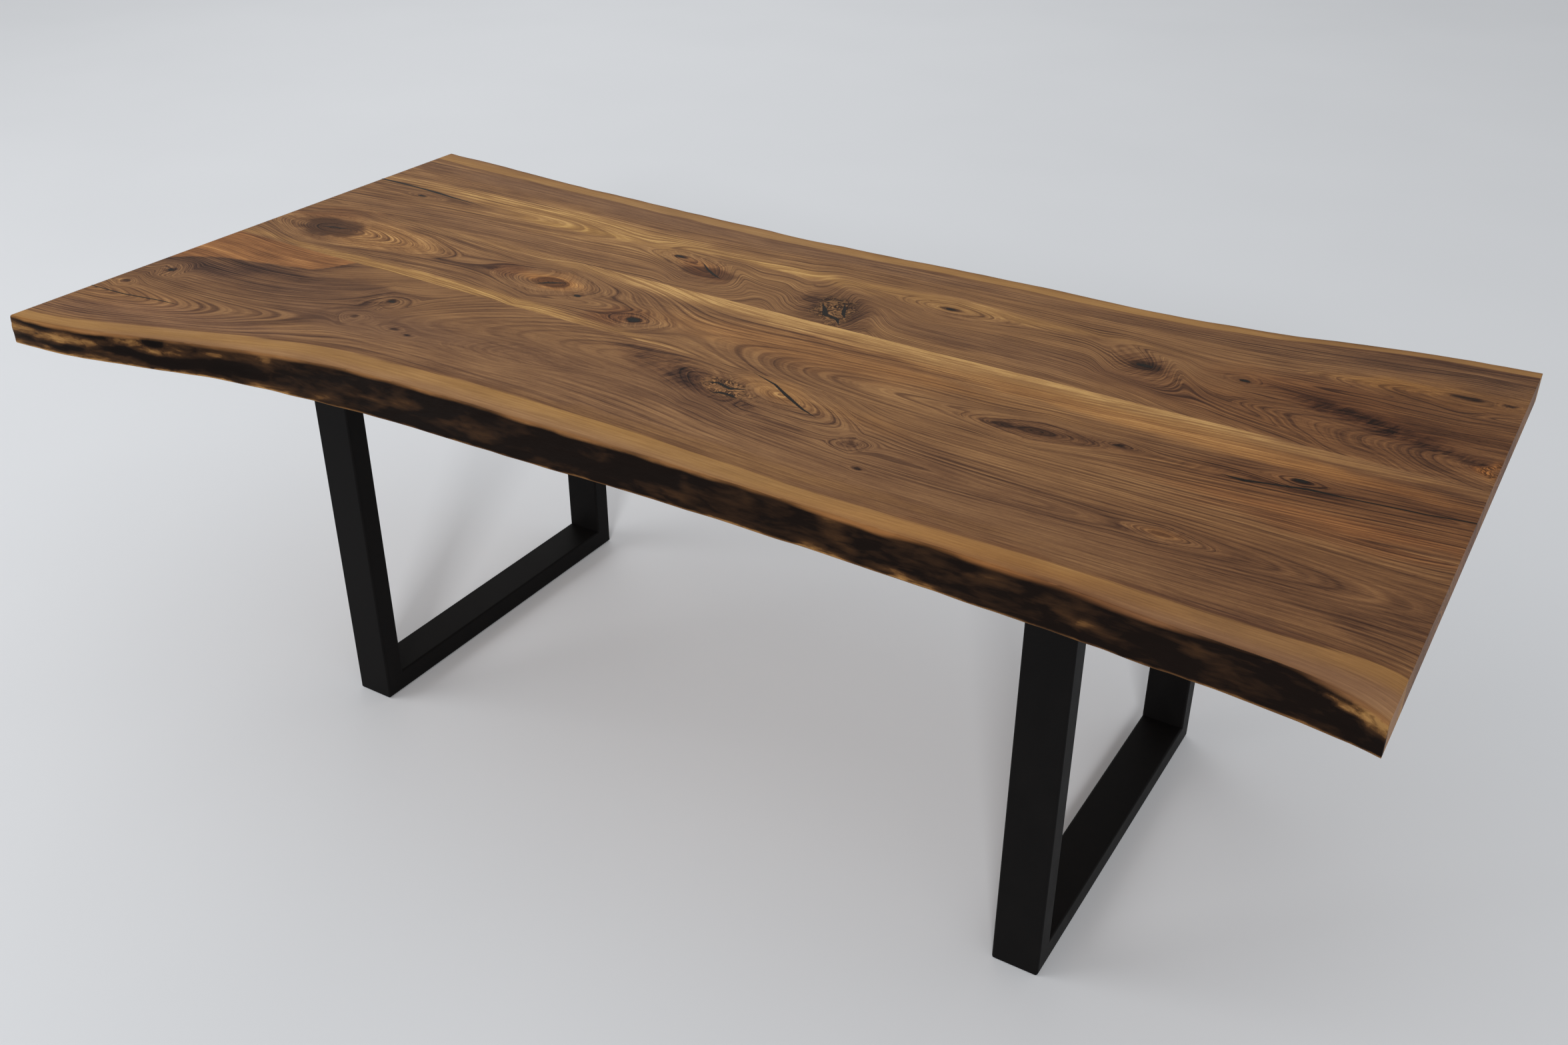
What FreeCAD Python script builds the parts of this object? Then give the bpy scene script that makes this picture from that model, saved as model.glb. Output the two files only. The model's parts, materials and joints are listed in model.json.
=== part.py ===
import FreeCAD, Part
import math
import os

from FreeCAD import Vector

# A live-edge dining table. Three wide walnut boards are edge-glued into one thick top with square-cut
# ends and a natural edge along each side. It stands on two rectangular frames of flat steel tube.
# +X runs along the table, +Y to its far side and +Z up. The origin is on the floor, under the middle
# of the top. All sizes are in millimetres.

# Top
LENGTH = 2220.0
HEIGHT = 760.0
TOP_THICKNESS = 50.0
CREST_BEVEL = 4.0            # worn-off corner between a natural edge and the upper face
FOOT_BEVEL = 2.5             # the same at the underside
FAR_JOINT_Y = (160.0, 104.0)     # glue joint between the far and middle boards, left and right end
NEAR_JOINT_Y = (-63.0, -115.0)   # glue joint between the middle and near boards

# The natural edges, as (x, y at the upper face, y at the underside), from left to right.
NEAR_EDGE = [
    (-1110.0, -555.0, -555.0),
    (-980.0, -539.0, -541.0),
    (-850.0, -506.0, -512.0),
    (-700.0, -463.0, -476.0),
    (-560.0, -430.0, -458.0),
    (-430.0, -416.0, -446.0),
    (-200.0, -410.0, -439.0),
    (50.0, -408.0, -432.0),
    (300.0, -412.0, -429.0),
    (550.0, -415.0, -434.0),
    (750.0, -421.0, -442.0),
    (900.0, -434.0, -452.0),
    (1000.0, -442.0, -459.0),
    (1060.0, -456.0, -467.0),
    (1110.0, -484.0, -479.0),
]
FAR_EDGE = [
    (-1110.0, 530.0, 534.0),
    (-900.0, 512.0, 520.0),
    (-700.0, 495.0, 507.0),
    (-450.0, 481.0, 495.0),
    (-200.0, 472.0, 486.0),
    (0.0, 471.0, 484.0),
    (275.0, 480.0, 492.0),
    (450.0, 476.0, 490.0),
    (650.0, 484.0, 496.0),
    (800.0, 509.0, 519.0),
    (900.0, 531.0, 538.0),
    (1000.0, 545.0, 549.0),
    (1110.0, 553.0, 555.0),
]

# Black resin poured into the cracks and knots. Each crack is a list of (x, y, width) along its line.
# A width of 0 is a pointed tip, and a crack that starts or ends past the board is cut off by its end.
RESIN_DEPTH = 12.0
CRACKS = {
    "far_board": [
        [(-1120, 315, 4), (-1050, 314, 6), (-1000, 311, 5), (-950, 307, 7), (-900, 300, 5), (-820, 293, 0)],
        [(-265, 262, 0), (-237, 237, 5), (-215, 222, 6), (-190, 209, 0)],
        [(18, 208, 0), (34, 188, 8), (46, 168, 10), (74, 160, 8), (88, 140, 0)],
        [(52, 226, 0), (62, 206, 6), (72, 184, 7), (84, 170, 0)],
    ],
    "middle_board": [
        [(-1000, 38, 0), (-985, 42, 4), (-955, 50, 4), (-935, 56, 0)],
        [(-458, 20, 0), (-445, 32, 6), (-428, 42, 6), (-408, 53, 0)],
        [(785, -34, 0), (820, -36, 7), (850, -28, 3), (900, -16, 6), (950, -13, 3), (1050, -3, 3),
         (1120, 9, 3)],
    ],
    "near_board": [
        [(-1120, -394, 2), (-1030, -391, 3), (-950, -378, 3), (-900, -374, 0)],
        [(20, -160, 0), (45, -152, 6), (70, -160, 7), (95, -150, 0)],
        [(50, -185, 0), (65, -179, 6), (85, -179, 6), (100, -184, 0)],
        [(65, -90, 0), (120, -111, 4), (155, -135, 6), (200, -163, 4), (232, -177, 0)],
    ],
}
# Small round pits, each (x, y, length along the grain, width)
PITS = {
    "far_board": [(-962, 275, 20, 6), (-318, 266, 18, 7), (215, 299, 16, 8), (575, 252, 28, 10),
                  (725, 279, 17, 7)],
    "middle_board": [(-358, 14, 14, 8), (-213, -21, 23, 16), (886, 3, 18, 9)],
    "near_board": [(-1053, -271, 13, 8), (-610, -174, 14, 7)],
}

# Loose beech tenons that line the boards up in each glue joint
TENON_LENGTH = 50.0          # across the joint, half in each board
TENON_WIDTH = 24.0
TENON_THICKNESS = 10.0
TENON_X = [-900.0, -600.0, -300.0, 0.0, 300.0, 600.0, 900.0]

# Leg frames of flat steel tube, whose corners are mitred, welded and ground flush
FRAME_X = {"left": -654.0, "right": 667.0}
FRAME_Y = 37.0
FRAME_WIDTH = 686.0          # across the table, over the uprights
TUBE_WIDTH = 76.0            # along X
TUBE_DEPTH = 40.0
TUBE_WALL = 3.0
TUBE_CORNER = 4.0
PLATE_THICKNESS = 8.0
PLATE_WIDTH = 110.0
PLATE_CORNER = 6.0
PAD_THICKNESS = 2.0
PAD_RADIUS = 12.5
PAD_OFFSET_X = 20.0
PAD_OFFSET_Y = 310.0

# M8 fixings that hold each frame's plate to the top. The slots let the wood move across its width.
FIXING_OFFSET_X = 35.0
FIXING_OFFSETS_Y = [-250.0, 0.0, 250.0]
SLOT_WIDTH = 9.0
SLOT_LENGTH = 24.0
BOLT_RADIUS = 4.0
BOLT_LENGTH = 30.0
BOLT_TIP_CHAMFER = 1.0
HEAD_ACROSS_FLATS = 13.0
HEAD_HEIGHT = 5.3
WASHER_RADIUS = 12.0
WASHER_BORE_RADIUS = 4.2
WASHER_THICKNESS = 2.0
INSERT_LENGTH = 25.0
INSERT_CORE_RADIUS = 5.8
INSERT_CREST_RADIUS = 6.8
INSERT_PITCH = 3.5
INSERT_BORE_RADIUS = 4.05

HALF_LENGTH = LENGTH / 2
UNDERSIDE = HEIGHT - TOP_THICKNESS
PLATE_BOTTOM = UNDERSIDE - PLATE_THICKNESS
FRONT_Y = FRAME_Y - FRAME_WIDTH / 2
REAR_Y = FRAME_Y + FRAME_WIDTH / 2


def joint_y(ends, x):
    """How far back a straight glue joint lies at x."""
    left, right = ends
    return left + (right - left) * (x + HALF_LENGTH) / LENGTH


def joint_edge(ends, z):
    left, right = ends
    return Part.makeLine(Vector(-HALF_LENGTH, left, z), Vector(HALF_LENGTH, right, z))


def smooth_edge(points):
    curve = Part.BSplineCurve()
    curve.interpolate(points)
    return curve.toShape()


def natural_edge(stations, z, share_down, inset):
    """One height of a natural edge: share_down of the way from its upper to its lower line."""
    outward = 1 if stations[0][1] > 0 else -1
    points = []
    for x, upper, lower in stations:
        points.append(Vector(x, upper + (lower - upper) * share_down - outward * inset, z))
    return smooth_edge(points)


def outline(near_side, far_side):
    """A closed wire round one height of a board, from its near and far long edges."""
    near_left, near_right = near_side.firstVertex().Point, near_side.lastVertex().Point
    far_left, far_right = far_side.firstVertex().Point, far_side.lastVertex().Point
    right_end = Part.makeLine(near_right, far_right)
    left_end = Part.makeLine(far_left, near_left)
    return Part.Wire([near_side, right_end, far_side.reversed(), left_end])


def live_edge_board(stations, joint):
    """A board with a natural edge on one side and a glue joint on the other."""
    levels = [
        (HEIGHT, 0.0, CREST_BEVEL * 0.7),
        (HEIGHT - CREST_BEVEL, 0.0, 0.0),
        (UNDERSIDE + FOOT_BEVEL, 1.0, 0.0),
        (UNDERSIDE, 1.0, FOOT_BEVEL * 0.7),
    ]
    wires = []
    for z, share_down, inset in levels:
        natural = natural_edge(stations, z, share_down, inset)
        glued = joint_edge(joint, z)
        sides = (glued, natural) if stations[0][1] > 0 else (natural, glued)
        wires.append(outline(*sides))
    return Part.makeLoft(wires, True, True)


def straight_board(near_joint, far_joint):
    wire = outline(joint_edge(near_joint, UNDERSIDE), joint_edge(far_joint, UNDERSIDE))
    return Part.Face(wire).extrude(Vector(0, 0, TOP_THICKNESS))


def crack_fill(stations):
    """A prism of resin along one crack, half its width to each side of its line."""
    left, right = [], []
    for i, (x, y, width) in enumerate(stations):
        before = stations[max(i - 1, 0)]
        after = stations[min(i + 1, len(stations) - 1)]
        along = Vector(after[0] - before[0], after[1] - before[1], 0).normalize()
        across = Vector(-along.y, along.x, 0) * (width / 2)
        centre = Vector(x, y, HEIGHT)
        left.append(centre + across)
        if width > 0:
            right.append(centre - across)
    wire = Part.makePolygon(left + right[::-1] + left[:1])
    return Part.Face(wire).extrude(Vector(0, 0, -RESIN_DEPTH))


def pit_fill(x, y, length, width):
    rim = Part.Ellipse(Vector(x, y, HEIGHT), length / 2, width / 2).toShape()
    return Part.Face(Part.Wire(rim)).extrude(Vector(0, 0, -RESIN_DEPTH))


def tenons(joint):
    """The loose tenons of one glue joint, square to it and at half the top's thickness."""
    skew = math.degrees(math.atan2(joint[1] - joint[0], LENGTH))
    made = []
    for x in TENON_X:
        tenon = Part.makeBox(TENON_WIDTH, TENON_LENGTH, TENON_THICKNESS)
        tenon.translate(Vector(-TENON_WIDTH / 2, -TENON_LENGTH / 2, -TENON_THICKNESS / 2))
        ends = [edge for edge in tenon.Edges if abs(edge.tangentAt(0).y) > 0.9]
        tenon = tenon.makeFillet(TENON_THICKNESS * 0.45, ends)
        tenon.rotate(Vector(0, 0, 0), Vector(0, 0, 1), skew)
        tenon.translate(Vector(x, joint_y(joint, x), HEIGHT - TOP_THICKNESS / 2))
        made.append(tenon)
    return Part.makeCompound(made)


def insert_envelope():
    """A threaded insert's outside, its bore filled in, with its mouth at z = 0 and its body above."""
    outline_points = [Vector(0, 0, 0), Vector(INSERT_CORE_RADIUS, 0, 0)]
    z = INSERT_PITCH / 2
    while z + INSERT_PITCH < INSERT_LENGTH:
        outline_points.append(Vector(INSERT_CORE_RADIUS, 0, z))
        outline_points.append(Vector(INSERT_CREST_RADIUS, 0, z + INSERT_PITCH * 0.35))
        outline_points.append(Vector(INSERT_CORE_RADIUS, 0, z + INSERT_PITCH * 0.7))
        z += INSERT_PITCH
    outline_points.append(Vector(INSERT_CORE_RADIUS, 0, INSERT_LENGTH))
    outline_points.append(Vector(0, 0, INSERT_LENGTH))
    outline_points.append(outline_points[0])
    profile = Part.Face(Part.makePolygon(outline_points))
    return profile.revolve(Vector(0, 0, 0), Vector(0, 0, 1), 360)


def threaded_insert():
    return insert_envelope().cut(Part.makeCylinder(INSERT_BORE_RADIUS, INSERT_LENGTH))


def hex_bolt():
    """An M8 bolt standing head down, with the underside of its head at z = 0."""
    corner_radius = HEAD_ACROSS_FLATS / 2 / math.cos(math.radians(30))
    corners = []
    for k in range(7):
        angle = math.radians(60 * k)
        corners.append(Vector(corner_radius * math.cos(angle), corner_radius * math.sin(angle), 0))
    head = Part.Face(Part.makePolygon(corners)).extrude(Vector(0, 0, -HEAD_HEIGHT))
    shank = Part.makeCylinder(BOLT_RADIUS, BOLT_LENGTH - BOLT_TIP_CHAMFER)
    tip = Part.makeCone(BOLT_RADIUS, BOLT_RADIUS - BOLT_TIP_CHAMFER, BOLT_TIP_CHAMFER)
    tip.translate(Vector(0, 0, BOLT_LENGTH - BOLT_TIP_CHAMFER))
    return head.fuse(shank).fuse(tip).removeSplitter()


def washer():
    """A wide washer whose upper face is at z = 0."""
    disc = Part.makeCylinder(WASHER_RADIUS, WASHER_THICKNESS)
    bored = disc.cut(Part.makeCylinder(WASHER_BORE_RADIUS, WASHER_THICKNESS))
    bored.translate(Vector(0, 0, -WASHER_THICKNESS))
    return bored


def at_fixings(side, make, z):
    """One copy of a fixing at each of a frame's fixing places."""
    made = []
    for offset_x in (-FIXING_OFFSET_X, FIXING_OFFSET_X):
        for offset_y in FIXING_OFFSETS_Y:
            copy = make()
            copy.translate(Vector(FRAME_X[side] + offset_x, FRAME_Y + offset_y, z))
            made.append(copy)
    return Part.makeCompound(made)


def rounded_bar(width, depth, length, corner):
    """A bar that stands on z = 0, centred on the origin, with its four long corners rounded."""
    bar = Part.makeBox(width, depth, length, Vector(-width / 2, -depth / 2, 0))
    upright_edges = [edge for edge in bar.Edges if abs(edge.tangentAt(0).z) > 0.9]
    return bar.makeFillet(corner, upright_edges)


def frame_tube(length):
    inner_width = TUBE_WIDTH - 2 * TUBE_WALL
    inner_depth = TUBE_DEPTH - 2 * TUBE_WALL
    outside = rounded_bar(TUBE_WIDTH, TUBE_DEPTH, length, TUBE_CORNER)
    inside = rounded_bar(inner_width, inner_depth, length, TUBE_CORNER - TUBE_WALL)
    return outside.cut(inside)


def corner_half(x, outer_y, inward, upper):
    """Half of the square where an upright meets the foot rail: above or below the mitre."""
    low = PAD_THICKNESS
    high = PAD_THICKNESS + TUBE_DEPTH
    inner_y = outer_y + inward * TUBE_DEPTH
    third = (outer_y, high) if upper else (inner_y, low)
    start = x - TUBE_WIDTH
    corners = []
    for y, z in [(outer_y, low), (inner_y, high), third, (outer_y, low)]:
        corners.append(Vector(start, y, z))
    return Part.Face(Part.makePolygon(corners)).extrude(Vector(2 * TUBE_WIDTH, 0, 0))


def upright(side, outer_y, inward):
    x = FRAME_X[side]
    tube = frame_tube(PLATE_BOTTOM - PAD_THICKNESS)
    tube.translate(Vector(x, outer_y + inward * TUBE_DEPTH / 2, PAD_THICKNESS))
    return tube.cut(corner_half(x, outer_y, inward, upper=False))


def foot_rail(side):
    x = FRAME_X[side]
    tube = frame_tube(FRAME_WIDTH)
    tube.rotate(Vector(0, 0, 0), Vector(1, 0, 0), -90)
    tube.translate(Vector(x, FRONT_Y, PAD_THICKNESS + TUBE_DEPTH / 2))
    tube = tube.cut(corner_half(x, FRONT_Y, 1, upper=True))
    return tube.cut(corner_half(x, REAR_Y, -1, upper=True))


def slot():
    """A slot through the plate, long across the table, from z = 0 up."""
    straight = SLOT_LENGTH - SLOT_WIDTH
    middle = Part.makeBox(SLOT_WIDTH, straight, PLATE_THICKNESS)
    middle.translate(Vector(-SLOT_WIDTH / 2, -straight / 2, 0))
    for end in (-1, 1):
        place = Vector(0, end * straight / 2, 0)
        middle = middle.fuse(Part.makeCylinder(SLOT_WIDTH / 2, PLATE_THICKNESS, place))
    return middle


def mounting_plate(side):
    plate = rounded_bar(PLATE_WIDTH, FRAME_WIDTH, PLATE_THICKNESS, PLATE_CORNER)
    plate.translate(Vector(FRAME_X[side], FRAME_Y, PLATE_BOTTOM))
    return plate.cut(at_fixings(side, slot, PLATE_BOTTOM))


def felt_pads(side):
    made = []
    for offset_x in (-PAD_OFFSET_X, PAD_OFFSET_X):
        for offset_y in (-PAD_OFFSET_Y, PAD_OFFSET_Y):
            place = Vector(FRAME_X[side] + offset_x, FRAME_Y + offset_y, 0)
            made.append(Part.makeCylinder(PAD_RADIUS, PAD_THICKNESS, place))
    return Part.makeCompound(made)


def top_nodes():
    """The three boards, the resin in each, and the tenons in the two joints."""
    boards = {
        "far_board": live_edge_board(FAR_EDGE, FAR_JOINT_Y),
        "middle_board": straight_board(NEAR_JOINT_Y, FAR_JOINT_Y),
        "near_board": live_edge_board(NEAR_EDGE, NEAR_JOINT_Y),
    }
    joint_tenons = {"far_joint_tenons": tenons(FAR_JOINT_Y), "near_joint_tenons": tenons(NEAR_JOINT_Y)}
    sockets = list(joint_tenons.values())
    for side in FRAME_X:
        sockets.append(at_fixings(side, insert_envelope, UNDERSIDE))
    nodes = dict(joint_tenons)
    for name, board in boards.items():
        fills = [crack_fill(stations) for stations in CRACKS[name]]
        fills += [pit_fill(*pit) for pit in PITS[name]]
        prisms = Part.makeCompound(fills)
        nodes[name + "_resin"] = prisms.common(board)
        nodes[name] = board.cut(sockets + [prisms])
    return nodes


def frame_nodes(side):
    """One leg frame with its plate, fixings and felt pads."""
    bolt_seat = PLATE_BOTTOM - WASHER_THICKNESS
    return {
        side + "_front_upright": upright(side, FRONT_Y, 1),
        side + "_rear_upright": upright(side, REAR_Y, -1),
        side + "_foot_rail": foot_rail(side),
        side + "_mounting_plate": mounting_plate(side),
        side + "_plate_bolts": at_fixings(side, hex_bolt, bolt_seat),
        side + "_plate_washers": at_fixings(side, washer, PLATE_BOTTOM),
        side + "_threaded_inserts": at_fixings(side, threaded_insert, UNDERSIDE),
        side + "_felt_pads": felt_pads(side),
    }


os.makedirs("parts", exist_ok=True)
nodes = top_nodes()
for side in FRAME_X:
    nodes.update(frame_nodes(side))
for name, shape in nodes.items():
    shape.exportStep(os.path.join("parts", name + ".step"))
    solids = len(shape.Solids)
    print(f"{name}: {solids} solid(s), {shape.Volume / 1000:.0f} cm3, valid {shape.isValid()}")
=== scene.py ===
import json
import math

import bpy
import numpy as np
from mathutils import Euler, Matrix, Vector
from mathutils.bvhtree import BVHTree


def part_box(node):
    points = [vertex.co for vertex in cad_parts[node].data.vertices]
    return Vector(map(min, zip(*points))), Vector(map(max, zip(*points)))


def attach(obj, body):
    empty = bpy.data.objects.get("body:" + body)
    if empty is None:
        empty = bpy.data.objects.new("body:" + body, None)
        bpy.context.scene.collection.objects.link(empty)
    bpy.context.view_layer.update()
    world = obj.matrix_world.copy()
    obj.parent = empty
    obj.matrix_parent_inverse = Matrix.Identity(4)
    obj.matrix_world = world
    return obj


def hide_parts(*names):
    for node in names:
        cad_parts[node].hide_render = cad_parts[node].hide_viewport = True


# A live-edge dining table. The CAD frame holds every outline and size; this script gives the three
# boards denser meshes with grain, knots and weathered natural edges, and finishes every CAD piece.
# Lengths of grain features are in millimetres and are turned into metres where meshes are made.

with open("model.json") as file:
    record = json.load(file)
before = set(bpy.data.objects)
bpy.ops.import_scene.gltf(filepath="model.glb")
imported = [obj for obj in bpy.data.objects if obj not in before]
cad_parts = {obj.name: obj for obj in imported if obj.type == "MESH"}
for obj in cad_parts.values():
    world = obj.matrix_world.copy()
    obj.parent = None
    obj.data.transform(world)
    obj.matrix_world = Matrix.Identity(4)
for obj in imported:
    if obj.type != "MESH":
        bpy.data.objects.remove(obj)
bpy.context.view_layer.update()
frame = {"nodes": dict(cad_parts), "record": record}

MM = 0.001
board_low, board_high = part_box("middle_board")
HALF_LENGTH = board_high.x / MM
TOP = board_high.z / MM
UNDERSIDE = board_low.z / MM
THICKNESS = TOP - UNDERSIDE

# Mesh detail of the boards, in mm
STATION_STEP = 5.2
ACROSS_STEP = 4.4
CREST_RADIUS = 5.0
FOOT_RADIUS = 2.5
END_ARRIS = 0.9
END_LOOPS = [0.0, 0.22, END_ARRIS]      # distances of the first stations from a board's end
RESIN_PROUD = 0.1
# Depths of a natural edge's loops on a board 50 mm thick, closer together at its rounded corners
EDGE_DEPTHS = [0, 0.5, 1.6, 3.4, 6, 9.5, 14, 18.5, 23, 27.5, 32, 36.5, 41, 44.5, 47, 48.4, 49.4, 50]
JOINT_LOOPS = 11

# Values that mean "nowhere near": a board without a natural edge is heartwood and has no natural face.
ALL_HEARTWOOD = 100.0
NO_FACE = -100.0

# Seeds of the noise fields. Most fields add the board's number, so that the boards differ.
SEED = {"waves": 10, "lumps": 40, "ridges": 70, "wander": 90, "knot_rim": 120, "knot_core": 121,
        "ragged_x": 200, "ragged_y": 210, "flame": 230, "sapwood": 300, "patches": 400}

# Camera, lights and floor, in metres, degrees and watts
CAMERA_PLACE = (1.2334, -1.9059, 1.7486)
CAMERA_TURN = (59.743, -0.140, 31.502)
CAMERA_LENS = 35.04
WORLD_STRENGTH = 0.52
PANEL_COLOUR = (1.0, 0.99, 0.98)
PANELS = {      # name: (place, aim, side, watts)
    "left_panel": ((-4.6, -3.2, 3.6), (-0.9, -0.8, 0.0), 3.4, 95),
    "rear_panel": ((-4.2, 4.6, 5.0), (-4.2, 4.6, 0.0), 4.0, 60),
    "front_panel": ((5.6, -11.9, 6.2), (0.0, 0.0, 0.3), 2.2, 860),
}
FLOOR_REACH = 40.0

# The middle line of the cathedral figure of each board: (x, y, depth of the pith below the face).
PITH = {
    "far_board": [(-1110, 268, 4), (-850, 284, 16), (-600, 284, 32), (-420, 280, 50), (-250, 285, 40),
                  (0, 320, 24), (250, 325, 18), (500, 318, 24), (700, 300, 30), (900, 300, 20),
                  (1110, 300, 16)],
    "middle_board": [(-1110, 40, 6), (-700, 44, 8), (-300, 10, 24), (-120, -20, 84), (20, -36, 72),
                     (140, -44, 44), (260, -46, 26), (450, -48, 12), (700, -34, 6), (1110, -5, 14)],
    "near_board": [(-1110, -398, 3), (-960, -388, 46), (-800, -352, 90), (-650, -290, 112),
                   (-450, -190, 80), (-250, -150, 46), (-50, -150, 24), (120, -190, 14), (300, -222, 18),
                   (500, -234, 26), (700, -236, 36), (900, -238, 52), (1110, -240, 76)],
}

# Knots: (x, y, reach left, reach right, half width, turn in degrees, shift of the rings at the middle in
# mm, core share, darkness of the core). The grain flows round each. Those with a core share of 0 only
# bend the grain.
KNOTS = {
    "far_board": [
        (-962, 277, 44, 70, 16, 0, -16, 0.28, 0.24),
        (-318, 266, 70, 60, 26, 0, -30, 0.26, 0.34),
        (-229, 225, 130, 130, 54, -27, -60, 0.46, 0.02),
        (45, 192, 130, 150, 72, -56, -80, 0.3, 0.1),
        (215, 299, 110, 130, 42, 0, -48, 0.16, 0.3),
        (575, 252, 90, 100, 54, -42, -60, 0.3, 0.2),
        (725, 279, 40, 40, 24, 0, -20, 0.24, 0.25),
        (1125, 168, 400, 100, 125, -6, 200, 0.0, 0.0),
        (1040, 392, 250, 240, 60, 6, -90, 0.0, 0.0),
        (1028, 394, 44, 60, 10, 3, 6, 0.6, 0.3),
        (1088, 398, 16, 20, 8, 3, 4, 0.6, 0.3),
    ],
    "middle_board": [
        (-974, 45, 150, 325, 88, 2, -150, 0.49, 0.24),
        (-437, 41, 130, 125, 66, 4, -110, 0.3, 0.3),
        (-213, -21, 50, 80, 34, 8, -34, 0.32, 0.36),
        (-358, 14, 18, 18, 10, 0, -8, 0.45, 0.4),
        (522, -48, 120, 110, 36, 3, -60, 0.3, 0.12),
        (470, -53, 50, 36, 15, 0, -8, 0.5, 0.24),
        (640, -28, 34, 40, 16, 0, -20, 0.3, 0.35),
        (886, 2, 50, 50, 20, 0, -22, 0.25, 0.3),
    ],
    "near_board": [
        (-1053, -271, 30, 40, 34, 60, -24, 0.3, 0.25),
        (-1078, -346, 30, 30, 22, 0, -16, 0.3, 0.2),
        (-612, -172, 60, 50, 50, 40, -40, 0.18, 0.35),
        (-618, -253, 40, 40, 34, 0, -36, 0.2, 0.2),
        (-523, -259, 40, 40, 18, 0, -16, 0.24, 0.3),
        (-487, -267, 16, 24, 9, 0, -8, 0.45, 0.35),
        (58, -160, 120, 90, 50, -18, -40, 0.0, 0.0),
        (148, -136, 110, 170, 66, -18, -120, 0.0, 0.0),
        (316, -223, 36, 36, 24, 20, -40, 0.2, 0.1),
        (358, -282, 14, 14, 8, 0, -6, 0.5, 0.4),
        (772, -233, 60, 80, 22, -3, -46, 0.24, -0.06),
        (-300, -235, 130, 130, 40, 14, -30, 0.0, 0.0),
    ],
}

# Burls, where the grain is torn up into honey and black: (x, y, half length, half width, turn). The
# middle board has none.
BURLS = {
    "far_board": [(47, 190, 74, 42, -58), (1106, 165, 13, 36, 0)],
    "middle_board": [],
    "near_board": [(62, -158, 56, 26, -22)],
}

# Combed, feathery shade across the grain: (x, y, half length, half width, turn).
FEATHER = {
    "far_board": [(900, 238, 130, 36, -18), (1010, 205, 100, 28, -16), (1075, 178, 50, 16, -10),
                  (590, 250, 60, 34, -30), (105, 170, 90, 40, -50), (0, 215, 60, 26, -40)],
    "middle_board": [(470, -54, 44, 12, 0), (780, -30, 120, 16, 4)],
    "near_board": [(-70, -135, 120, 44, -16), (-10, -180, 60, 30, -16), (110, -205, 60, 18, -22),
                   (-640, -190, 50, 60, 30)],
}

# Stretches of quieter figure, or livelier where negative: (x, y, half length, half width, turn, amount).
CALM = {
    "far_board": [(-620, 418, 620, 52, -1, 0.6), (300, 470, 500, 40, 2, 0.4),
                  (-700, 196, 420, 34, -1, 0.3), (900, 220, 300, 120, -10, 0.35),
                  (120, 250, 220, 60, 0, 0.3), (980, 392, 240, 70, 5, 0.35),
                  (690, 296, 80, 50, 0, 0.35)],
    "middle_board": [(-760, 40, 300, 90, 0, -0.3), (450, 110, 700, 40, -2, 0.4),
                     (900, 30, 260, 60, -2, 0.3)],
    "near_board": [(-320, -230, 420, 120, 4, 0.7), (500, -350, 760, 90, 0, 0.6),
                   (960, -230, 240, 110, 0, 0.35), (-700, -60, 500, 40, -3, 0.3),
                   (500, -90, 600, 40, 3, 0.4)],
}

# The orange flame at the near board's left end: its lower boundary as (x, y), and where it and the dark
# sweep below it fade out along x.
FLAME = [(-1110, -232), (-1070, -206), (-1030, -184), (-980, -168), (-926, -158), (-870, -147),
         (-834, -132), (-816, -108), (-800, -80), (-700, 0)]
FLAME_FADE = (-780, -800)
SWEEP_FADE = (-560, -900)
SWEEP_REACH = 34

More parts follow.
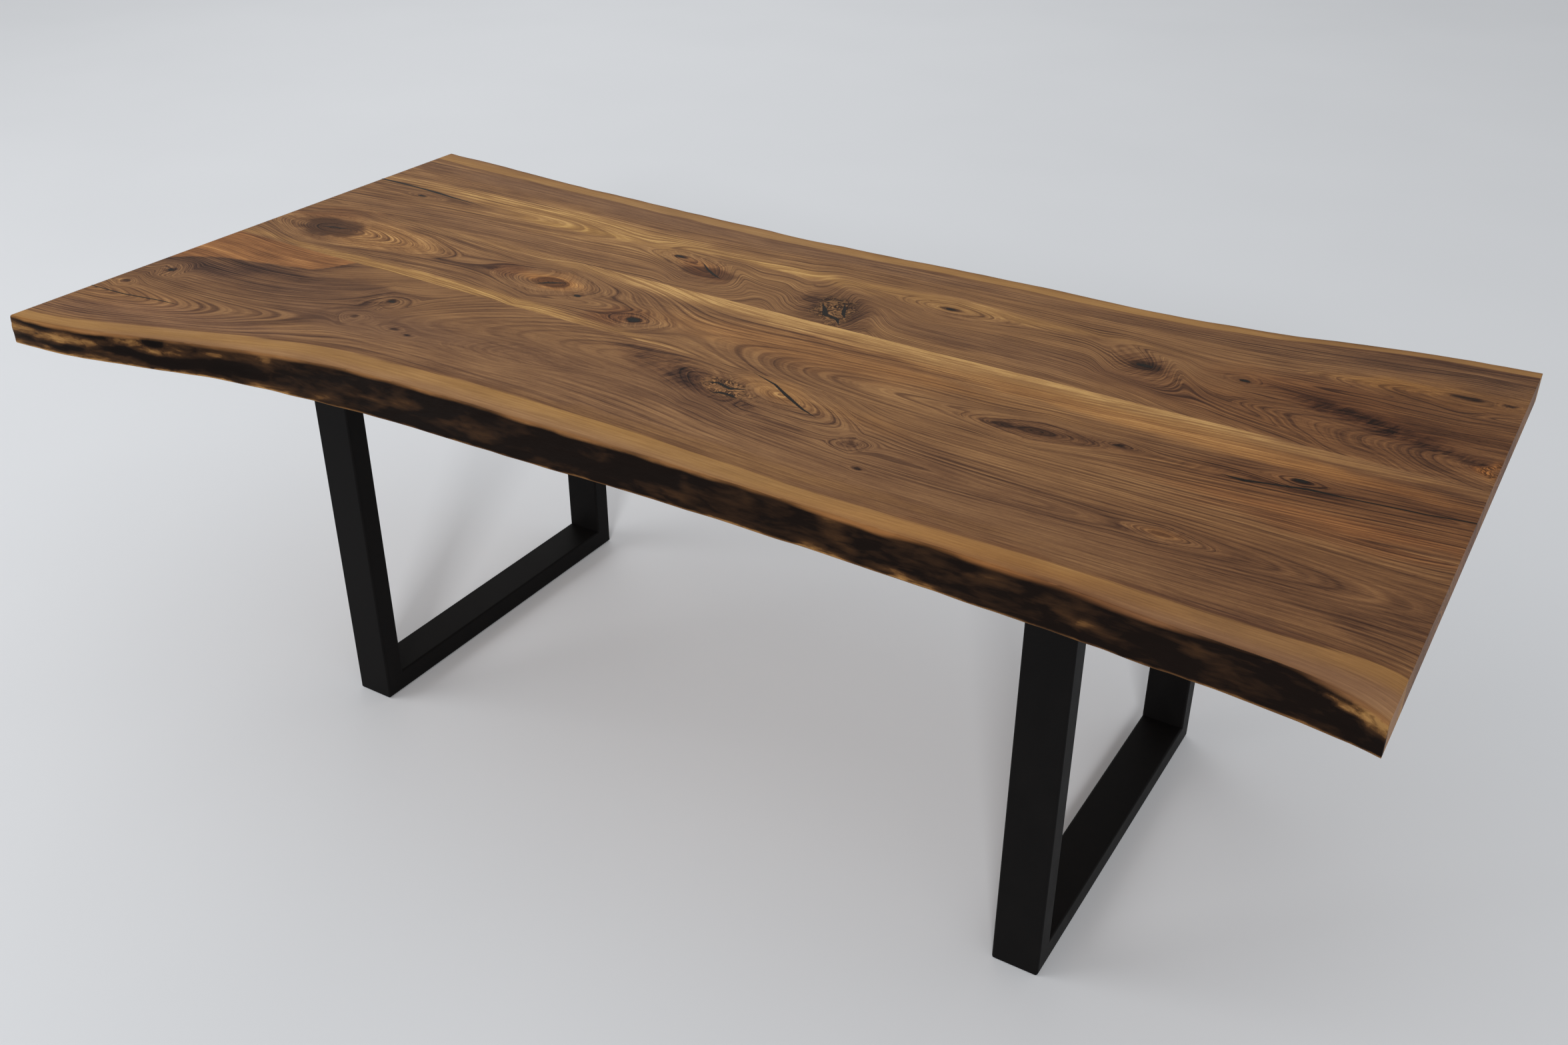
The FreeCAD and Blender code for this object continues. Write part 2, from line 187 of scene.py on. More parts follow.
# Stretches of colour: (x, y, half length, half width, turn, darker, redder, more golden). Most are the
# wood's own tone. The broad darkening over each board's right end is partly painted shade.
TONES_AND_SHADE = {
    "far_board": [
        (0, 520, 1500, 60, 0, 0.26, 0.1, -0.3),
        (-450, 428, 900, 52, -1, 0.04, 0.0, -0.6),
        (-620, 325, 560, 48, -1, -0.22, 0.0, 0.6),
        (-560, 286, 240, 16, 0, -0.08, 0.0, 0.6),
        (160, 318, 460, 30, 1, -0.08, 0.0, 0.5),
        (-700, 196, 500, 38, -1, 0.03, 0.0, -0.2),
        (-250, 236, 84, 36, -24, 0.13, 0.5, 0.0),
        (50, 190, 120, 80, -52, 0.24, 0.0, 0.0),
        (420, 190, 330, 60, -2, 0.06, 0.0, -0.3),
        (572, 252, 60, 30, -30, 0.10, 0.1, 0.0),
        (760, 440, 400, 50, 6, 0.12, 0.0, -0.2),
        (930, 232, 170, 40, -14, 0.05, 0.3, 0.0),
        (800, 310, 180, 50, 0, 0.03, 0.2, 0.0),
        # These two are partly painted shade: the far board's right end is darker, as if light fell off
        # towards it.
        (900, 190, 420, 130, 0, 0.18, 0.3, 0.2),
        (1000, 300, 320, 90, 0, 0.18, 0.3, 0.3),
        (900, 242, 84, 24, -22, 0.03, 0.1, 0.0),
        (1104, 168, 20, 40, 0, -0.16, 0.7, 0.4),
        (1000, 388, 200, 54, 6, 0.09, 0.2, 0.5),
        (1000, 480, 200, 40, 8, 0.12, 0.0, 0.0),
        (-500, 258, 560, 34, 0, -0.12, 0.0, 0.2),
        (-460, 200, 150, 30, 0, -0.07, 0.0, 0.1),
        (-60, 335, 260, 50, 0, -0.06, 0.0, 0.1),
        (180, 150, 260, 24, -1, -0.05, 0.0, 0.1),
        (730, 386, 110, 30, 4, 0.10, 0.0, 0.0),
        (920, 390, 120, 24, 13, -0.09, 0.1, 0.5),
        (910, 268, 70, 26, -10, -0.08, 0.0, 0.0),
        (1060, 446, 70, 30, 4, 0.10, 0.0, 0.0),
        (-1060, 440, 80, 30, 0, 0.07, 0.0, 0.0),
    ],
    "middle_board": [
        (-975, 45, 70, 44, 4, 0.04, -0.1, -0.4),
        (-436, 41, 64, 40, 0, -0.10, 0.3, 0.2),
        # Partly painted shade: the right end is darker, as if light fell off towards it.
        (1000, -10, 330, 160, 0, 0.13, 0.1, 0.0),
        (560, 20, 330, 80, 0, 0.05, 0.0, 0.0),
        (-700, -50, 420, 30, 0, 0.06, 0.0, 0.0),
        (-1030, 100, 90, 30, 20, 0.06, 0.3, 0.0),
        (-880, 50, 210, 80, 0, -0.10, 0.2, 0.4),
        (-640, -62, 560, 26, -1.5, -0.22, 0.0, 0.8),
        (-1020, 135, 120, 14, 14, 0.1, 0.2, 0.0),
        (200, 112, 960, 42, -1.8, -0.30, 0.0, 0.5),
        (150, 66, 420, 10, -1.8, 0.10, 0.0, 0.0),
        (700, 56, 520, 32, -2, -0.20, 0.3, 0.5),
        (-445, 50, 80, 40, 0, -0.12, 0.3, 0.4),
        (-540, 52, 46, 40, 0, 0.10, 0.4, 0.0),
        (-245, -20, 60, 44, 24, 0.16, 0.5, 0.0),
        (100, 20, 330, 70, 0, -0.05, 0.3, 0.3),
        (540, -48, 140, 30, 3, 0.16, 0.1, 0.0),
        (860, -16, 300, 20, 3, 0.06, 0.0, 0.0),
        (980, -40, 320, 110, 2, 0.05, 0.3, 0.2),
        (950, -88, 300, 26, 2, -0.04, 0.3, 0.0),
        (500, 84, 640, 26, -2, 0.13, 0.0, -0.1),
        (430, 18, 260, 26, -2, -0.09, 0.1, 0.2),
        (-90, -10, 110, 50, 0, -0.07, 0.0, 0.0),
        (1060, 50, 90, 60, 0, 0.12, 0.1, 0.0),
        (-520, 128, 330, 20, -1, 0.06, 0.0, 0.0),
        (900, -80, 120, 30, 0, -0.08, 0.0, 0.0),
    ],
    "near_board": [
        (0, -280, 1600, 140, 0, 0.08, 0.0, -0.25),
        (-850, -520, 300, 60, 10, 0.08, 0.0, 0.0),
        (900, -410, 420, 60, 0, 0.20, 0.1, 0.0),
        (-970, -212, 90, 44, 22, 0.11, 0.0, -0.3),
        (-860, -205, 260, 64, 12, 0.10, 0.0, -0.2),
        (-740, -160, 200, 26, 9, 0.10, 0.0, -0.2),
        (-760, -235, 130, 70, 10, 0.05, 0.0, -0.2),
        (-650, -222, 60, 16, 58, 0.14, 0.0, 0.0),
        (-560, -260, 220, 70, 10, 0.02, 0.0, -0.3),
        (-980, -400, 180, 60, 4, -0.06, 0.1, 0.0),
        (-60, -146, 140, 46, -16, 0.15, 0.1, 0.0),
        (40, -166, 96, 44, -20, 0.14, 0.1, 0.0),
        (150, -132, 90, 40, -18, -0.12, 0.2, 0.4),
        (300, -150, 90, 30, -12, -0.04, 0.1, 0.2),
        (772, -233, 44, 14, -3, -0.04, 0.2, 0.3),
        (1000, -110, 260, 36, 2, 0.06, 0.4, 0.0),
        # Partly painted shade: the right end is darker, as if light fell off towards it.
        (1000, -220, 360, 170, 0, 0.11, 0.1, 0.1),
        (-900, -430, 300, 60, 14, 0.05, 0.1, -0.8),
        (100, -345, 560, 26, 1, -0.02, 0.0, 0.5),
        (950, -430, 300, 70, -3, 0.07, 0.1, -0.9),
        (560, -400, 300, 50, 0, 0.04, 0.2, 0.0),
        (-60, -300, 320, 60, 0, -0.05, 0.0, 0.0),
        (-560, -310, 380, 60, 6, -0.06, 0.0, 0.0),
        (260, -300, 280, 60, 0, -0.05, 0.0, 0.0),
        (900, -145, 140, 40, 0, -0.07, 0.0, 0.0),
        (1070, -310, 70, 90, 0, 0.09, 0.0, 0.0),
        (-840, -98, 110, 24, 0, 0.10, 0.0, 0.0),
    ],
}

# Width of the pale sapwood inside each natural edge: (x, width).
SAPWOOD = {
    "far_board": [(-1110, 46), (-800, 41), (-600, 37), (-200, 39), (100, 34), (500, 33), (700, 28),
                  (850, 25), (1110, 24)],
    "near_board": [(-1110, 30), (-900, 47), (-700, 60), (-450, 58), (-250, 62), (0, 56), (200, 47),
                   (450, 43), (700, 49), (900, 56), (1000, 66), (1110, 94)],
}

# How far the dark skin of the natural face is worn away to tan wood along its length: (x, amount).
WORN_ALONG = {
    "far_board": [(-1110, 0.35), (-700, 0.1), (0, 0.0), (600, 0.05), (1000, 0.2), (1110, 0.4)],
    "near_board": [(-1110, 0.40), (-1000, 0.36), (-860, 0.26), (-700, 0.16), (-560, 0.06), (-400, 0.0),
                   (300, 0.03), (450, 0.06), (700, 0.02), (1110, 0.0)],
}
# Single patches on it: (x, depth share, half length, half height, slant, amount worn or left dark).
PATCHES = {
    "far_board": [(-850, 0.6, 90, 0.3, 0.5, 0.3), (-250, 0.7, 70, 0.2, 0.5, 0.25),
                  (380, 0.6, 60, 0.25, 0.5, 0.3), (860, 0.5, 80, 0.3, 0.5, 0.25)],
    "near_board": [
        (-1060, 0.10, 60, 0.22, 1.2, -0.5), (-1050, 0.42, 70, 0.12, 1.2, 0.18),
        (-945, 0.12, 60, 0.18, 0.4, -0.5), (-960, 0.44, 90, 0.09, 1.2, 0.2),
        (-1000, 0.74, 110, 0.16, 1.0, -0.4), (-862, 0.14, 44, 0.16, 0.4, 0.26),
        (-872, 0.52, 60, 0.16, 1.2, -0.4), (-818, 0.12, 17, 0.14, 0.2, -0.7),
        (-806, 0.36, 36, 0.14, 0.4, 0.22), (-800, 0.68, 60, 0.20, 1.0, -0.4),
        (-720, 0.26, 30, 0.08, 0.6, 0.2), (-700, 0.55, 90, 0.24, 0.6, -0.4),
        (-625, 0.16, 18, 0.20, 0.8, 0.3), (-740, 0.93, 60, 0.08, 0.0, 0.25),
        (-600, 0.90, 60, 0.10, 0.2, 0.28), (-505, 0.82, 44, 0.12, 0.4, 0.24),
        (-414, 0.57, 50, 0.10, 0.8, 0.26), (-344, 0.42, 34, 0.14, 0.4, 0.18),
        (-221, 0.62, 70, 0.12, 0.4, 0.2), (-60, 0.9, 60, 0.10, 0.2, 0.16),
        (135, 0.72, 56, 0.20, 0.4, 0.18), (270, 0.92, 60, 0.08, 0.0, 0.2),
        (388, 0.12, 24, 0.16, 0.8, 0.2), (405, 0.5, 26, 0.36, 1.0, 0.24),
        (385, 0.92, 40, 0.08, 0.0, 0.3), (516, 0.88, 46, 0.09, 0.4, 0.45),
        (618, 0.35, 46, 0.12, 0.8, 0.2), (712, 0.45, 34, 0.10, 0.6, 0.18),
        (760, 0.58, 40, 0.08, 0.8, 0.3), (880, 0.30, 44, 0.12, 0.6, 0.14),
        (1062, 0.24, 22, 0.08, 0.8, 0.5), (1112, 0.0, 60, 0.44, 0.0, 0.75),
    ],
}


def smoothstep(low, high, value):
    t = np.clip((value - low) / (high - low), 0, 1)
    return t * t * (3 - 2 * t)


def smooth_line(points, x):
    """A Catmull-Rom curve through (x, value) points, read at every x."""
    px, py = np.array(points, float).T
    slope = np.gradient(py, px)
    i = np.clip(np.searchsorted(px, x) - 1, 0, len(px) - 2)
    width = px[i + 1] - px[i]
    t = np.clip((x - px[i]) / width, 0, 1)
    rise = t * t * (3 - 2 * t)
    leave = t * (1 - t) ** 2 * slope[i] * width
    arrive = -t * t * (1 - t) * slope[i + 1] * width
    return py[i] * (1 - rise) + py[i + 1] * rise + leave + arrive


def noise(u, v, seed):
    """Smooth noise from -1 to 1 with one bump per unit, the same on each run."""
    lattice = np.random.default_rng(seed).uniform(-1, 1, (256, 256))
    iu, iv = np.floor(u).astype(int), np.floor(v).astype(int)
    fu, fv = u - iu, v - iv
    fu, fv = fu * fu * (3 - 2 * fu), fv * fv * (3 - 2 * fv)
    corner = [lattice[(iu + a) & 255, (iv + b) & 255] for a in (0, 1) for b in (0, 1)]
    near = corner[0] * (1 - fv) + corner[1] * fv
    far = corner[2] * (1 - fv) + corner[3] * fv
    return near * (1 - fu) + far * fu


def layered(u, v, seed, layers=3):
    """Noise in layers, each twice as fine and half as strong as the one before."""
    total = 0
    for k in range(layers):
        total = total + noise(u * 2 ** k, v * 2 ** k, seed + k) / 2 ** k
    return total


def turned(x, y, spot_x, spot_y, left, right, half_width, degrees):
    """Coordinates in an eye-shaped spot's own frame: 1 is its rim, and both ends come to a point."""
    a = math.radians(degrees)
    dx, dy = x - spot_x, y - spot_y
    along = dx * math.cos(a) + dy * math.sin(a)
    along = along / np.where(along < 0, left, right)
    across = (dy * math.cos(a) - dx * math.sin(a)) / half_width
    return along, across * (1 + 0.5 * np.clip(np.abs(along), 0, 2))


def spot(x, y, spot_x, spot_y, half_length, half_width, degrees, inner=0.35, outer=1.25):
    """1 in the middle of a spot, fading smoothly to 0 outside it."""
    along, across = turned(x, y, spot_x, spot_y, half_length, half_length, half_width, degrees)
    return 1 - smoothstep(inner, outer, np.sqrt(along ** 2 + across ** 2))


def spots(x, y, places, inner=0.35, outer=1.25):
    """The sum of the spots at all the places."""
    total = np.zeros_like(x)
    for place in places:
        total = total + spot(x, y, *place, inner, outer)
    return total


# ---------------------------------------------------------------- the boards' outlines, from the frame

def cad_surface(name):
    mesh = frame["nodes"][name].data
    corners = [v.co.copy() for v in mesh.vertices]
    return BVHTree.FromPolygons(corners, [list(p.vertices) for p in mesh.polygons])


def side_line(surface, stations, z, outward):
    """The y of a board's side at each station, seen from outside along -outward."""
    start = Vector((0, outward * 2.0, z * MM))
    found = []
    for x in np.clip(stations, -HALF_LENGTH + 0.5, HALF_LENGTH - 0.5):
        start.x = x * MM
        found.append(surface.ray_cast(start, Vector((0, -outward, 0)))[0].y / MM)
    return np.array(found)


def straight(line):
    """A glue joint is straight, so only its ends count."""
    return np.linspace(line[0], line[-1], len(line))


class Board:
    """The outline of one board: stations along x, and both sides at each depth below the face."""

    def __init__(self, name, natural):
        self.name = name
        self.natural = natural      # +1 or -1 where the far or near side is a natural edge, else 0
        inner = HALF_LENGTH - END_ARRIS
        middle = np.arange(-inner, inner, STATION_STEP)[1:-1]
        first = np.array(END_LOOPS) - HALF_LENGTH
        self.x = np.concatenate([first, middle, -first[::-1]])
        surface = cad_surface(name)
        self.upper, self.lower = {}, {}
        for side in (-1, 1):
            upper = side_line(surface, self.x, TOP - CREST_RADIUS, side)
            lower = side_line(surface, self.x, UNDERSIDE + FOOT_RADIUS, side)
            if side != natural:
                upper, lower = straight(upper), straight(lower)
            self.upper[side], self.lower[side] = upper, lower
        self.number = sorted(PITH).index(name)

    def side(self, which, x, depth):
        """The y of one side at x and depth, before any roughness."""
        share = np.clip((depth - CREST_RADIUS) / (THICKNESS - CREST_RADIUS - FOOT_RADIUS), 0, 1)
        upper = np.interp(x, self.x, self.upper[which])
        lower = np.interp(x, self.x, self.lower[which])
        return upper + (lower - upper) * share


def corner_inset(depth):
    """How far the rounded crest and foot of a natural edge stand back at a depth."""
    crest = np.clip(CREST_RADIUS - depth, 0, None)
    foot = np.clip(FOOT_RADIUS - (THICKNESS - depth), 0, None)
    inset = CREST_RADIUS - np.sqrt(CREST_RADIUS ** 2 - crest ** 2)
    return inset + FOOT_RADIUS - np.sqrt(FOOT_RADIUS ** 2 - foot ** 2)


def edge_relief(board, x, depth):
    """Bumps and hollows of the natural face, in mm, outward."""
    lumps = layered(x / 90 + depth / 60, depth / 26, SEED["lumps"] + board.number) * 1.5
    ridges = noise(x / 34 + depth / 9, depth / 5, SEED["ridges"] + board.number) * 0.35
    wander = noise(x / 46, np.full_like(depth, 0.5), SEED["wander"] + board.number) * 0.9
    return lumps + ridges + wander


# ---------------------------------------------------------------- grain fields, read by the wood shader

def knot_fields(board, x, y):
    """The knots' core and darkness, how far they shift the rings, and how far they push the grain aside."""
    core, dark, lift, shift = (np.zeros_like(x) for _ in range(4))
    for kx, ky, left, right, half_width, turn, rise, core_share, darkness in KNOTS[board.name]:
        flow = 0.85 if core_share else 0.5
        along, across = turned(x, y, kx, ky, left, right, half_width, turn)
        uneven = 1 + 0.06 * noise(x / 60 + kx, y / 34, SEED["knot_rim"])
        r = np.sqrt(along ** 2 + across ** 2) * uneven
        around = np.exp(-(np.clip(r - 0.8, 0, None) / 0.6) ** 2)
        beside = across / (1 + 0.5 * np.clip(np.abs(along), 0, 2)) * half_width
        lift = lift + rise * np.clip(1 - r, 0, None)
        shift = shift + beside * around * flow
        if core_share:
            uneven = 1 + 0.14 * noise(x / 15 + kx, y / 11, SEED["knot_core"])
            round_r = np.hypot((x - kx) / min(left, right), (y - ky) / half_width) * uneven
            inside = 1 - smoothstep(core_share * 0.75, core_share * 1.15, round_r)
            core = np.maximum(core, inside)
            dark = dark + inside * darkness
    return core, dark, lift, shift


def ring_fields(board, x, y, depth, lift, shift):
    """The place across the grain, and the distance from the pith, which numbers the growth rings."""
    pith = PITH[board.name]
    pith_y = smooth_line([p[:2] for p in pith], x)
    pith_depth = smooth_line([(p[0], p[2]) for p in pith], x)
    offset = y - shift - pith_y
    if board.natural:
        to_edge = np.abs(board.side(board.natural, x, depth) - pith_y)
        offset = offset / to_edge * np.mean(to_edge) * board.natural
    wave = layered(x / 300, y / 80, SEED["waves"] + board.number, 2)
    ring = np.sqrt((offset + wave * 5) ** 2 + (pith_depth - depth + wave * 5) ** 2) + lift
    return offset, ring


def tone_and_shade_fields(board, x, y, ragged_x, ragged_y, dark):
    """How much darker, redder and more golden the wood is, with the flame on the near board. Part of the
    darkening at each board's right end is painted shade.
    """
    red = np.zeros_like(x)
    gold = np.zeros_like(x)
    for tx, ty, half_length, half_width, turn, darker, redder, golder in TONES_AND_SHADE[board.name]:
        amount = spot(ragged_x, ragged_y, tx, ty, half_length, half_width, turn)
        # darker carries the wood's own tone and, at the boards' right end, painted shade.
        dark = dark + darker * amount
        red = red + redder * amount
        gold = gold + golder * amount
    if board.natural < 0:
        above = ragged_y * 0.5 + y * 0.5 - smooth_line(FLAME, x)
        lobe = smoothstep(-2, 4, above) * smoothstep(*FLAME_FADE, x)
        below = np.exp(-np.clip(-above, 0, None) / SWEEP_REACH) * (1 - lobe) * smoothstep(*SWEEP_FADE, x)
        swirl = layered(x / 80, y / 30, SEED["flame"]) * 0.09
        dark = dark + (swirl - 0.04) * lobe + 0.26 * below
        red = red + 0.6 * lobe
        gold = gold + 0.2 * lobe - 0.2 * below
    return dark, red, gold


def natural_edge_fields(board, x, y, depth, ragged_x):
    """Distance into the heartwood, depth on the natural face, and how worn that face is."""
    if not board.natural:
        return np.full_like(x, ALL_HEARTWOOD), np.full_like(x, NO_FACE), np.zeros_like(x)
    name = board.name
    from_edge = (board.side(board.natural, x, depth) - y) * board.natural
    sap_noise = noise(x / 60, np.zeros_like(y), SEED["sapwood"] + board.number)
    heart = from_edge - (smooth_line(SAPWOOD[name], x) + sap_noise * 1.5)
    inland = np.where(depth > THICKNESS - 0.5, THICKNESS + from_edge, -from_edge)
    face = np.where(from_edge < CREST_RADIUS + 0.5, depth, inland)
    share = depth / THICKNESS
    worn = smooth_line(WORN_ALONG[name], x)
    for wx, middle, half_length, half_height, slant, amount in PATCHES[name]:
        along = (ragged_x - wx - slant * (share - middle) * 60) / half_length
        uneven = layered(x / 40, depth / 14, SEED["patches"]) * 0.07
        across = (share + uneven - middle) / half_height
        worn = worn + amount * (1 - smoothstep(0.3, 1.3, np.sqrt(along ** 2 + across ** 2)))
    return heart, face, worn


def grain_fields(board, x, y, depth):
    """Attributes of wood at points of a board: place along and across the grain, rings and colours."""
    name = board.name
    core, dark, lift, shift = knot_fields(board, x, y)
    offset, ring = ring_fields(board, x, y, depth, lift, shift)
    ragged_x = x + layered(x / 60, y / 24, SEED["ragged_x"] + board.number) * 14
    ragged_y = y + layered(x / 70, y / 18, SEED["ragged_y"] + board.number) * 8
    dark, red, gold = tone_and_shade_fields(board, x, y, ragged_x, ragged_y, dark)
    burl = spots(ragged_x, ragged_y, BURLS[name], inner=0.6, outer=1.2)
    feather = spots(ragged_x, ragged_y, FEATHER[name])
    calm = np.zeros_like(x)
    for *place, amount in CALM[name]:
        calm = calm + spot(x, y, *place, inner=0.5, outer=1.3) * amount
    figure = np.clip(1 - calm, 0.2, 1.6)
    heart, face, worn = natural_edge_fields(board, x, y, depth, ragged_x)
    return {
        "grain": np.stack([x, offset, depth], 1),
        "ring": ring,
        # The tint's darkening includes painted shade at the boards' right end.
        "tint": np.stack([dark, red, gold], 1),
        "zone": np.stack([heart, core, worn], 1),
        "figure": np.stack([burl, feather, figure], 1),
        "face": face,
    }


# ---------------------------------------------------------------- board meshes

def section_depths(natural):
    if natural:
        return np.array(EDGE_DEPTHS) * THICKNESS / EDGE_DEPTHS[-1]
    return np.linspace(0, THICKNESS, JOINT_LOOPS)


def board_mesh(board):
    """A closed mesh: loops round the board at each station, and a grid over each end."""
    depths = section_depths(board.natural)
    rows = len(depths) - 1
    widest = np.max(board.upper[1] - board.upper[-1])
    across = 2 * int(round(widest / ACROSS_STEP / 2))
    under = across // 2
    end_steps = {0: END_ARRIS, 1: END_ARRIS * 0.3, 2: 0.0}
    points = []
    for i, x in enumerate(board.x):
        shrink = end_steps.get(min(i, len(board.x) - 1 - i), 0.0)
        sides = {}
        for which in (-1, 1):
            xs = np.full(rows + 1, x)
            y = board.side(which, xs, depths)
            if which == board.natural:
                inward = corner_inset(depths) + shrink - edge_relief(board, xs, depths)
                y = y - which * inward
            sides[which] = y
        z = np.clip(depths, shrink, THICKNESS - shrink)
        face = np.linspace(sides[-1][0], sides[1][0], across + 1)
        bottom = np.linspace(sides[1][-1], sides[-1][-1], under + 1)
        loop_y = np.concatenate([face, sides[1][1:-1], bottom, sides[-1][1:-1][::-1]])
        loop_d = np.concatenate([np.full(across + 1, z[0]), z[1:-1], np.full(under + 1, z[-1]),
                                 z[1:-1][::-1]])
        points.append(np.stack([np.full_like(loop_y, x), loop_y, loop_d], 1))
    count = len(points[0])
    stations = len(points)
    vertices = list(np.concatenate(points))
    ring_index = np.arange(count)
    faces = []
    for i in range(stations - 1):
        a = i * count + ring_index
        b = a + count
        faces += np.stack([a, b, np.roll(b, -1), np.roll(a, -1)], 1).tolist()

    def end_grid(first, flip):
        loop = points[first // count]
        grid = [list(range(first, first + across + 1))]
        for r in range(1, rows):
            right = first + across + r
            left = first + count - r
            near, far = loop[count - r], loop[across + r]
            row = [left]
            for j in range(1, across):
                row.append(len(vertices))
                vertices.append(near + (far - near) * (j / across))
            row.append(right)
            grid.append(row)
        for upper, lower in zip(grid, grid[1:]):
            for j in range(across):
                quad = [upper[j], upper[j + 1], lower[j + 1], lower[j]]
                faces.append(quad[::-1] if flip else quad)
        last = grid[-1]
        foot = [first + across + rows + under - b for b in range(under + 1)]
        for b in range(under):
            for tri in ([last[2 * b], last[2 * b + 1], foot[b]],
                        [last[2 * b + 1], foot[b + 1], foot[b]],
                        [last[2 * b + 1], last[2 * b + 2], foot[b + 1]]):
                faces.append(tri[::-1] if flip else tri)

    end_grid(0, False)
    end_grid((stations - 1) * count, True)
    return np.array(vertices), faces


def add_board(name, natural, material):
    board = Board(name, natural)
    points, faces = board_mesh(board)
    x, y, depth = points.T
    placed = np.stack([x, y, TOP - RESIN_PROUD - depth * (1 - RESIN_PROUD / THICKNESS)], 1) * MM
    mesh = bpy.data.meshes.new(name + "_wood")
    mesh.from_pydata(placed.tolist(), [], faces)
    for key, values in grain_fields(board, x, y, depth).items():
        kind = "FLOAT_VECTOR" if values.ndim == 2 else "FLOAT"
        attribute = mesh.attributes.new(key, kind, "POINT")
        attribute.data.foreach_set("vector" if values.ndim == 2 else "value",
                                   values.astype(np.float32).ravel())
    mesh.polygons.foreach_set("use_smooth", [True] * len(mesh.polygons))
    mesh.set_sharp_from_angle(angle=math.radians(40))
    mesh.materials.append(material)
    piece = bpy.data.objects.new(name + "_wood", mesh)
    bpy.context.scene.collection.objects.link(piece)
    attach(piece, "root")
    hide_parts(name)
    return piece


# ---------------------------------------------------------------- shaders

class Graph:
    """Short names for building one material's nodes."""

    def __init__(self, name):
        self.material = bpy.data.materials.new(name)
        self.material.use_nodes = True
        self.tree = self.material.node_tree
        self.shader = self.tree.nodes["Principled BSDF"]

    def put(self, socket, value):
        if isinstance(value, bpy.types.NodeSocket):
            self.tree.links.new(value, socket)
        else:
            socket.default_value = value

    def node(self, kind, inputs=(), **settings):
        made = self.tree.nodes.new(kind)
        for key, value in settings.items():
            setattr(made, key, value)
        for key, value in dict(inputs).items():
            self.put(made.inputs[key], value)
        return made

    def math(self, operation, a, b=0.0, clamp=False):
        made = self.node("ShaderNodeMath", {0: a, 1: b}, operation=operation, use_clamp=clamp)
        return made.outputs[0]

    def add(self, *values):
        total = values[0]
        for value in values[1:]:
            total = self.math("ADD", total, value)
        return total

    def times(self, a, b):
        return self.math("MULTIPLY", a, b)

    def centred(self, value, strength):
        """value from 0 to 1, turned into a push of up to half the strength either way."""
        return self.times(self.math("SUBTRACT", value, 0.5), strength)

    def step(self, value, low, high):
        made = self.node("ShaderNodeMapRange", {"Value": value, "From Min": low, "From Max": high},
                         interpolation_type="SMOOTHSTEP")
        return made.outputs["Result"]

    def attribute(self, name, output="Fac"):
        return self.node("ShaderNodeAttribute", attribute_name=name).outputs[output]

    def position(self):
        """The place in the table's own frame, in mm."""
        place = self.node("ShaderNodeNewGeometry").outputs["Position"]
        return self.node("ShaderNodeVectorMath", {0: place, "Scale": 1 / MM}, operation="SCALE").outputs[0]

    def scaled(self, vector, x, y, z):
        return self.node("ShaderNodeVectorMath", {0: vector, 1: (x, y, z)}, operation="MULTIPLY").outputs[0]

    def split(self, vector):
        return self.node("ShaderNodeSeparateXYZ", {0: vector}).outputs

    def noise(self, vector, detail=2.0, roughness=0.5, distortion=0.0):
        made = self.node("ShaderNodeTexNoise", {"Vector": vector, "Scale": 1.0, "Detail": detail,
                                                "Roughness": roughness, "Distortion": distortion})
        return made.outputs["Fac"]

    def ramp(self, factor, stops):
        made = self.node("ShaderNodeValToRGB", {"Fac": factor})
        ramp = made.color_ramp
        while len(ramp.elements) < len(stops):
            ramp.elements.new(0.5)
        for element, (place, colour) in zip(ramp.elements, stops):
            element.position = place
            element.color = (*colour, 1.0)
        return made.outputs["Color"]

    def mix(self, factor, a, b, blend="MIX"):
        made = self.node("ShaderNodeMix", data_type="RGBA", blend_type=blend)
        self.put(made.inputs["Factor"], factor)
        self.put(made.inputs["A"], a)
        self.put(made.inputs["B"], (*b, 1.0) if isinstance(b, tuple) else b)
        return made.outputs["Result"]

    def tinted(self, amount, colour, tint):
        """colour, multiplied by tint as far as amount says."""
        return self.mix(amount, colour, self.mix(1.0, colour, tint, "MULTIPLY"))

    def bump(self, height, distance, normal=None):
        inputs = {"Height": height, "Distance": distance, "Strength": 1.0}
        if normal is not None:
            inputs["Normal"] = normal
        return self.node("ShaderNodeBump", inputs).outputs["Normal"]

    def finish(self, **sockets):
        for key, value in sockets.items():
            self.put(self.shader.inputs[key.replace("_", " ")], value)
        return self.material


RING_SPACING = 8.0
COMB_LEAN = math.radians(-58)
HEARTWOOD = [(0.0, (0.66, 0.400, 0.170)), (0.22, (0.37, 0.196, 0.080)), (0.5, (0.195, 0.094, 0.042)),
             (0.75, (0.074, 0.034, 0.019)), (1.0, (0.012, 0.006, 0.0048))]
SAPWOOD_RAMP = [(0.0, (0.59, 0.335, 0.118)), (0.5, (0.352, 0.184, 0.062)), (1.0, (0.145, 0.067, 0.026))]
KNOTWOOD = [(0.2, (0.190, 0.088, 0.038)), (0.55, (0.092, 0.042, 0.021)), (0.95, (0.020, 0.011, 0.008))]
BURLWOOD = [(0.0, (0.006, 0.003, 0.003)), (0.14, (0.042, 0.020, 0.011)), (0.30, (0.160, 0.078, 0.034)),
            (0.75, (0.40, 0.205, 0.080))]
NATURAL_FACE = [(0.0, (0.004, 0.0025, 0.002)), (0.36, (0.007, 0.004, 0.003)), (0.46, (0.022, 0.011, 0.006)),
                (0.60, (0.042, 0.020, 0.009)), (0.74, (0.130, 0.062, 0.022)), (1.0, (0.31, 0.165, 0.056))]
REDDER = (1.22, 0.88, 0.66)
MORE_GOLDEN = (1.10, 1.10, 0.80)
GREYER = (0.94, 1.02, 1.34)
